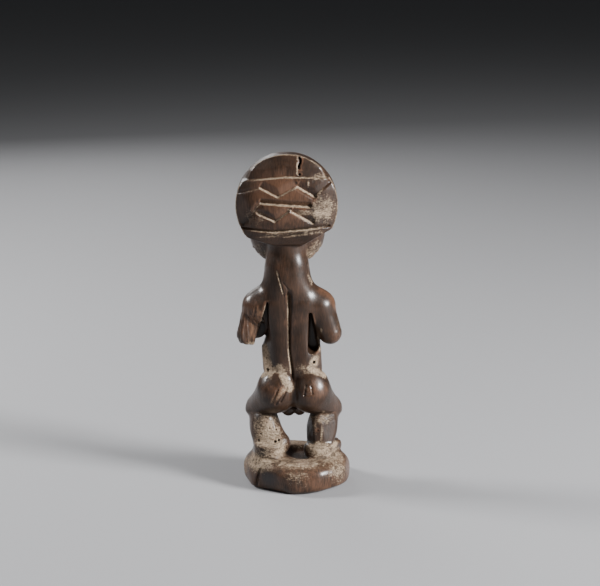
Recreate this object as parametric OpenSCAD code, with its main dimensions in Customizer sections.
// Carved standing figure on a round plinth.
// Frame: the origin is the centre of the plinth's flat underside, +Z is up and the face looks
// along -Y, so the figure's own left side is +X. Sizes are in millimetres.
// The carving is one block of wood. Each module below is one carved volume of that block, and
// neighbouring volumes meet face to face.

/* [Plinth] */
// Largest radius of the round plinth
plinth_r = 32; // [30:0.5:40]
// Radius of the flat underside that the figure stands on
plinth_foot_r = 29.5; // [22:0.5:31.5]
// Height of the plinth
plinth_h = 17.5; // [12:0.5:24]
// Radius of the plinth's rounded top edge
plinth_round = 6; // [3:0.5:8]

/* [Feet] */
// Thickness of a foot
foot_h = 6; // [4:0.5:8]
// Radius of the heel
heel_r = 9; // [7:0.5:11]
// Radius of the ball of the foot
toe_r = 7.5; // [6:0.5:10]
// Distance from the heel's centre to the ball's centre
foot_reach = 15; // [12:0.5:20]
// How far the left heel is left standing behind the ankle
left_heel_back = 5; // [0:0.5:8]
// How far the right heel is left standing behind the ankle
right_heel_back = 1; // [0:0.5:8]
// Turn of the left foot away from straight ahead, in degrees
left_splay = 6; // [0:1:25]
// Turn of the right foot away from straight ahead, in degrees
right_splay = 24; // [0:1:35]
// Width of the cuts between the toes
toe_cut_w = 0.8; // [0.5:0.1:1.2]

/* [Legs] */
// How far the figure stands to its own left of the plinth's axis
stance_x = 2; // [0:0.5:4]
// Height from the top of the foot to the knee's centre
shin_h = 18; // [15:0.5:24]
// Height from the knee's centre to the hip's centre
thigh_h = 14.5; // [12:0.5:19]
// Radius of the ankle
ankle_r = 9.3; // [8:0.5:11]
// Radius of the knee
knee_r = 9.5; // [8:0.5:12]
// Radius of the hip and buttock
hip_r = 12.5; // [11:0.5:16]
// Distance between the ankles' centres
ankle_gap = 31; // [28:0.5:36]
// Distance between the knees' centres
knee_gap = 42; // [34:0.5:52]
// Distance between the hips' centres
hip_gap = 20; // [17:0.5:26]
// How far the knees stand in front of the figure's axis
knee_forward = 8; // [4:0.5:12]
// How far the hips stand behind the figure's axis
hip_back = 5; // [2:0.5:8]
// Radius of each of the two lobes under the pelvis
lobe_r = 4.5; // [3:0.5:6]

/* [Trunk] */
// Height from the hip's centre to the ledge at the top of the pelvis
pelvis_h = 12.5; // [10:0.5:16]
// Height from that ledge to the foot of the neck
trunk_h = 60.5; // [50:0.5:74]
// Width of the waist
waist_w = 37.5; // [30:0.5:46]
// Depth of the waist from front to back
waist_d = 27; // [22:0.5:34]
// Width of the chest between the arms
chest_w = 30; // [25:0.5:36]
// Radius of the belly's front bulge
belly_r = 15; // [12:0.5:18]
// How far the belly's front stands in front of the figure's axis
belly_front = 20; // [17:0.5:24]
// Sideways place of the spine's groove from the middle of the trunk
spine_x = -1.5; // [-3:0.5:3]
// Width of the groove down the spine
spine_w = 5; // [3:0.5:8]
// Depth of the groove down the spine
spine_depth = 3.5; // [2:0.5:5]

/* [Arms] */
// Distance between the shoulders' centres
shoulder_gap = 37; // [30:0.5:44]
// How far the tops of the shoulders hang below the foot of the neck
shoulder_drop = 8; // [4:0.5:12]
// Radius of the shoulder
shoulder_r = 10; // [8:0.5:12]
// Distance between the elbows' centres
elbow_gap = 49; // [42:0.5:54]
// Radius of the elbow
elbow_r = 7.5; // [6:0.5:9]
// Depth of the flat slice taken off under the left elbow
left_elbow_slice = 1.5; // [0:0.25:3]
// Height from the elbow's centre to the shoulder's centre
upper_arm_h = 19; // [18:0.5:28]
// Radius of the wrist
wrist_r = 5; // [4:0.5:6.5]
// Thickness of a hand
hand_t = 6; // [4:0.5:8]
// Distance from the wrist's centre to the finger tips
hand_l = 15; // [12:0.5:18]

/* [Neck] */
// Radius of the neck
neck_r = 12.2; // [9:0.1:13]
// Height of the neck
neck_h = 17; // [12:0.5:22]
// Sideways lean of the head from the hips
lean = 4; // [0:0.5:8]

/* [Head] */
// Radius of the round crest at the back of the head
crest_r = 29.8; // [24:0.1:36]
// Length of the crest's side wall from front to back
crest_wall = 12; // [8:0.5:18]
// How far the crest's back face bulges beyond its side wall
crest_dome = 8; // [5:0.5:12]
// How far the crest's back face stands behind the figure's axis
crest_back = 21; // [18:0.5:26]
// Height of the crest's centre over the underside of the head
crest_lift = 24.4; // [21:0.5:28]
// Width of the lines cut into the crest
cut_w = 1.6; // [0.8:0.1:2.4]
// Depth of the lines cut into the crest
cut_depth = 1.2; // [0.6:0.1:2]
// Width of the face
face_w = 48; // [38:0.5:54]
// How far the face stands in front of the figure's axis
face_front = 25; // [20:0.5:30]
// How far the chin reaches below the underside of the head
chin_drop = 16; // [8:0.5:14]
// Width of the chin
chin_w = 30; // [22:0.5:30]
// Length of the nose
nose_l = 17; // [12:0.5:22]
// Height of an ear
ear_h = 11; // [8:0.5:14]

/* [Hidden] */

LEFT = 1;
RIGHT = -1;
BIG = 600;
EPS = 0.01;
WOOD_DARK = [0.17, 0.10, 0.07];
WOOD_WORN = [0.33, 0.19, 0.12];
WOOD_PALE = [0.62, 0.52, 0.40];

// Heights, stacked from the floor up.
ankle_z = plinth_h + foot_h;
knee_z = ankle_z + shin_h;
hip_z = knee_z + thigh_h;
ledge_z = hip_z + pelvis_h;
neck_z = ledge_z + trunk_h;
head_z = neck_z + neck_h;
crest_z = head_z + crest_lift;
shoulder_z = neck_z - shoulder_r - shoulder_drop;
elbow_z = shoulder_z - upper_arm_h;
belly_z = elbow_z - belly_r * 0.57;
chest_z = belly_z + belly_r * 0.8;
chin_z = head_z - chin_drop;
head_x = stance_x + lean;

// Depths.
ankle_y = 4;
elbow_y = 2;
split_y = -3;
crest_front_y = crest_back - crest_dome - crest_wall;
belly_y = belly_r - belly_front;

// Sideways place of the figure's own middle at height z: upright to the hips, then leaning.
function mid_x(z) = stance_x + lean * max(0, min(1, (z - hip_z) / (head_z - hip_z)));
function ankle(s) = [stance_x + s * ankle_gap / 2, ankle_y, ankle_z];
function knee(s) = [stance_x + s * knee_gap / 2, -knee_forward, knee_z];
function hip(s) = [stance_x + s * hip_gap / 2, hip_back, hip_z];
function shoulder(s) = [mid_x(shoulder_z) + s * shoulder_gap / 2, 0, shoulder_z];
function elbow(s) = [mid_x(elbow_z) + s * elbow_gap / 2, elbow_y, elbow_z];
function wrist(s) = [mid_x(elbow_z) + s * waist_w / 2, belly_y - belly_r * 0.55, elbow_z + 1];
// The fingers point at the front of the belly, level with the wrists, and so lie on it.
function belly_point() =
    [mid_x(elbow_z), belly_y - sqrt(belly_r * belly_r - pow(elbow_z - belly_z, 2)), elbow_z + 1];
function finger_tip(s) = wrist(s) + hand_l * unit(belly_point() - wrist(s));
function unit(v) = v / norm(v);
// Normal of the mitre plane between two limbs that meet, pointing into the second one.
function mitre(first, meet, second) = unit(second - meet) - unit(first - meet);
function arc(c, r, from, to, n = 8) =
    [for (i = [0 : n]) c + r * [cos(from + (to - from) * i / n), sin(from + (to - from) * i / n)]];

module ball(p, r) {
    translate(p) sphere(r, $fn = 24);
}

module egg(p, size) {
    translate(p) scale(size / 2) sphere(1, $fn = 28);
}

module limb(a, ra, b, rb) {
    hull() {
        ball(a, ra);
        ball(b, rb);
    }
}

// Half of space: everything beyond the plane through p, on the side that n points to.
module beyond(p, n) {
    translate(p)
        rotate([0, acos(n[2] / norm(n)), atan2(n[1], n[0])])
            translate([-BIG / 2, -BIG / 2, 0]) cube(BIG);
}

module above(z) { beyond([0, 0, z], [0, 0, 1]); }
module below(z) { beyond([0, 0, z], [0, 0, -1]); }
module in_front_of(y) { beyond([0, y, 0], [0, -1, 0]); }
module behind(y) { beyond([0, y, 0], [0, 1, 0]); }

module past_hip(s) { beyond(hip(s), mitre([mid_x(ledge_z), 0, ledge_z], hip(s), knee(s))); }
module past_knee(s) { beyond(knee(s), mitre(hip(s), knee(s), ankle(s))); }
module past_shoulder(s) { beyond(shoulder(s), mitre([mid_x(neck_z), 0, neck_z], shoulder(s), elbow(s))); }
module past_elbow(s) { beyond(elbow(s), mitre(shoulder(s), elbow(s), wrist(s))); }
module past_wrist(s) { beyond(wrist(s), mitre(elbow(s), wrist(s), finger_tip(s))); }

module plinth() {
    flare = plinth_r - plinth_foot_r;
    color(WOOD_WORN) rotate_extrude()
        polygon(concat([[0, 0], [plinth_foot_r, 0]],
                       arc([plinth_foot_r, flare], flare, -60, 0, 4),
                       arc([plinth_r - plinth_round, plinth_h - plinth_round], plinth_round, 0, 90),
                       [[0, plinth_h]]));
}

module foot(s, splay, heel_back) {
    color(WOOD_PALE) translate([ankle(s)[0], ankle_y, plinth_h]) rotate([0, 0, s * splay])
        difference() {
            linear_extrude(foot_h) hull() {
                translate([0, heel_back]) circle(heel_r, $fn = 40);
                translate([0, -foot_reach]) circle(toe_r, $fn = 40);
            }
            for (i = [-1.5 : 1 : 1.5])
                translate([i * toe_r * 0.42 - toe_cut_w / 2, -foot_reach - toe_r - EPS, foot_h * 0.4])
                    cube([toe_cut_w, toe_r * 0.7, foot_h]);
        }
}

module shin(s) {
    color(WOOD_WORN) intersection() {
        limb(ankle(s), ankle_r, knee(s), knee_r);
        past_knee(s);
        above(ankle_z);
    }
}

module thigh_form(s) {
    limb(hip(s), hip_r, knee(s), knee_r);
}

module thigh(s) {
    color(WOOD_DARK) difference() {
        intersection() {
            thigh_form(s);
            past_hip(s);
        }
        past_knee(s);
        above(ledge_z);
    }
}

module pelvis_form(s) {
    hull() {
        ball(hip(s), hip_r);
        egg([mid_x(ledge_z), 0, ledge_z], [waist_w + 2, waist_d, 12]);
    }
}

module buttock(s) {
    color(WOOD_WORN) difference() {
        pelvis_form(s);
        above(ledge_z);
        past_hip(s);
        beyond([stance_x, 0, 0], [-s, 0, 0]);
    }
}

module loin_lobes() {
    color(WOOD_DARK) difference() {
        for (s = [LEFT, RIGHT])
            ball([stance_x + s * lobe_r * 0.7, 0, hip_z - hip_r + 0.1 * lobe_r], lobe_r);
        for (s = [LEFT, RIGHT]) {
            pelvis_form(s);
            thigh_form(s);
        }
    }
}

module breast_form() {
    egg([mid_x(shoulder_z), 0, shoulder_z], [chest_w, waist_d - 2, 2 * shoulder_r]);
}

module torso_form() {
    hull() {
        egg([mid_x(ledge_z), 0, ledge_z], [waist_w, waist_d, 16]);
        breast_form();
    }
}

module belly_form() {
    egg([mid_x(belly_z), belly_y, belly_z], [belly_r, belly_r, belly_r] * 2);
}

// A V-shaped groove that leans with the trunk, from the ledge to the foot of the neck.
module spine_groove() {
    foot_of = [mid_x(ledge_z) + spine_x, waist_d / 2 - spine_depth, ledge_z];
    top_z = neck_z - shoulder_drop / 2;
    translate(foot_of)
        rotate([0, atan2(mid_x(top_z) - mid_x(ledge_z), top_z - ledge_z), 0])
            rotate(45) translate([-spine_w, -spine_w, 0] / 2) cube([spine_w, spine_w, top_z - ledge_z]);
}

module yoke_form() {
    difference() {
        hull() {
            for (s = [LEFT, RIGHT]) ball(shoulder(s), shoulder_r);
            breast_form();
            translate([head_x, 0, neck_z - 1]) cylinder(r = neck_r, h = 1, $fn = 36);
        }
        for (s = [LEFT, RIGHT]) past_shoulder(s);
    }
}

module shoulders() {
    color(WOOD_DARK) difference() {
        yoke_form();
        spine_groove();
    }
}

module back() {
    color(WOOD_DARK) difference() {
        torso_form();
        yoke_form();
        in_front_of(split_y);
        below(ledge_z);
        spine_groove();
    }
}

module chest() {
    color(WOOD_DARK) difference() {
        torso_form();
        yoke_form();
        behind(split_y);
        below(chest_z);
    }
}

module belly() {
    color(WOOD_WORN) intersection() {
        union() {
            torso_form();
            belly_form();
        }
        in_front_of(split_y);
        above(ledge_z);
        below(chest_z);
    }
}

// The lower face of the left elbow is sliced flat.
module elbow_slice(s) {
    if (s == LEFT) below(elbow_z - elbow_r + left_elbow_slice);
}

module upper_arm(s) {
    color(WOOD_DARK) difference() {
        intersection() {
            limb(shoulder(s), shoulder_r, elbow(s), elbow_r);
            past_shoulder(s);
        }
        past_elbow(s);
        torso_form();
        elbow_slice(s);
    }
}

module forearm(s) {
    color(WOOD_DARK) difference() {
        intersection() {
            limb(elbow(s), elbow_r, wrist(s), wrist_r);
            past_elbow(s);
        }
        past_wrist(s);
        torso_form();
        belly_form();
        elbow_slice(s);
    }
}

module hand(s) {
    color(WOOD_WORN) difference() {
        intersection() {
            limb(wrist(s), wrist_r, finger_tip(s), hand_t / 2);
            past_wrist(s);
            beyond([mid_x(elbow_z), 0, 0], [s, 0, 0]);
        }
        torso_form();
        belly_form();
    }
}

module neck() {
    color(WOOD_DARK) translate([head_x, 0, neck_z]) cylinder(r = neck_r, h = neck_h);
}

module face_form() {
    hull() {
        egg([head_x, -2, crest_z], [face_w, 2 * (face_front - 5), crest_r * 1.6]);
        egg([head_x, -face_front * 0.4, head_z + 4], [face_w * 0.88, face_front, 28]);
        egg([head_x, -face_front * 0.6, chin_z + 5], [chin_w, face_front * 0.7, 10]);
    }
}

module face() {
    color(WOOD_DARK) difference() {
        intersection() {
            face_form();
            in_front_of(crest_front_y);
        }
        translate([head_x, 0, neck_z]) cylinder(r = neck_r, h = neck_h);
    }
}

module nose() {
    tip = [head_x, -face_front - 1, crest_z - nose_l * 0.55];
    color(WOOD_WORN) difference() {
        limb(tip, 3.4, tip + [0, 4, nose_l * 0.75], 1.6);
        face_form();
    }
}

module ear(s) {
    lobe = [head_x + s * face_w / 2, -6, crest_z - ear_h / 2];
    color(WOOD_DARK) difference() {
        limb(lobe, 2, lobe + [0, 1, ear_h * 0.75], 3);
        face_form();
        behind(crest_front_y);
    }
}

module crest_form() {
    dome_r = (crest_r * crest_r + crest_dome * crest_dome) / (2 * crest_dome);
    dome_half = asin(crest_r / dome_r);
    translate([head_x, crest_front_y, crest_z]) rotate([-90, 0, 0]) rotate_extrude()
        polygon(concat([[0, 0], [crest_r, 0]],
                       arc([0, crest_wall + crest_dome - dome_r], dome_r, 90 - dome_half, 90)));
}

// A straight line cut across the crest's back face, between two points given as [x, z] from its centre.
module crest_cut(from, to) {
    run = to - from;
    translate([head_x + from[0], crest_back - crest_dome, crest_z + from[1]])
        rotate([0, -atan2(run[1], run[0]), 0])
            translate([0, 0, -cut_w / 2]) cube([norm(run), crest_dome + EPS, cut_w]);
}

module crest() {
    line_z = [0.58, 0.06, -0.46] * crest_r;
    step = 0.36 * crest_r;
    peak = 0.14 * crest_r;
    color(WOOD_WORN) difference() {
        crest_form();
        below(head_z);
        // The underside slopes in from the lowest cut line to the neck.
        beyond([0, crest_back, crest_z + line_z[2]],
               [0, crest_lift + line_z[2], neck_r - crest_back]);
        difference() {
            union() {
                for (z = line_z)
                    crest_cut([-crest_r, z], [crest_r, z]);
                // A zigzag runs between each pair of lines.
                for (row = [0, 1], i = [-2 : 1]) {
                    mid_z = (line_z[row] + line_z[row + 1]) / 2;
                    turn = i % 2 == 0 ? peak : -peak;
                    crest_cut([i * step, mid_z + turn], [(i + 1) * step, mid_z - turn]);
                }
            }
            translate([0, -cut_depth, 0]) crest_form();
        }
    }
}

plinth();
foot(LEFT, left_splay, left_heel_back);  // left_foot
foot(RIGHT, right_splay, right_heel_back);  // right_foot
shin(LEFT);  // left_shin
shin(RIGHT);  // right_shin
thigh(LEFT);  // left_thigh
thigh(RIGHT);  // right_thigh
buttock(LEFT);  // left_buttock
buttock(RIGHT);  // right_buttock
loin_lobes();
belly();
chest();
back();
shoulders();
upper_arm(LEFT);  // left_upper_arm
upper_arm(RIGHT);  // right_upper_arm
forearm(LEFT);  // left_forearm
forearm(RIGHT);  // right_forearm
hand(LEFT);  // left_hand
hand(RIGHT);  // right_hand
neck();
face();
nose();
ear(LEFT);  // left_ear
ear(RIGHT);  // right_ear
crest();
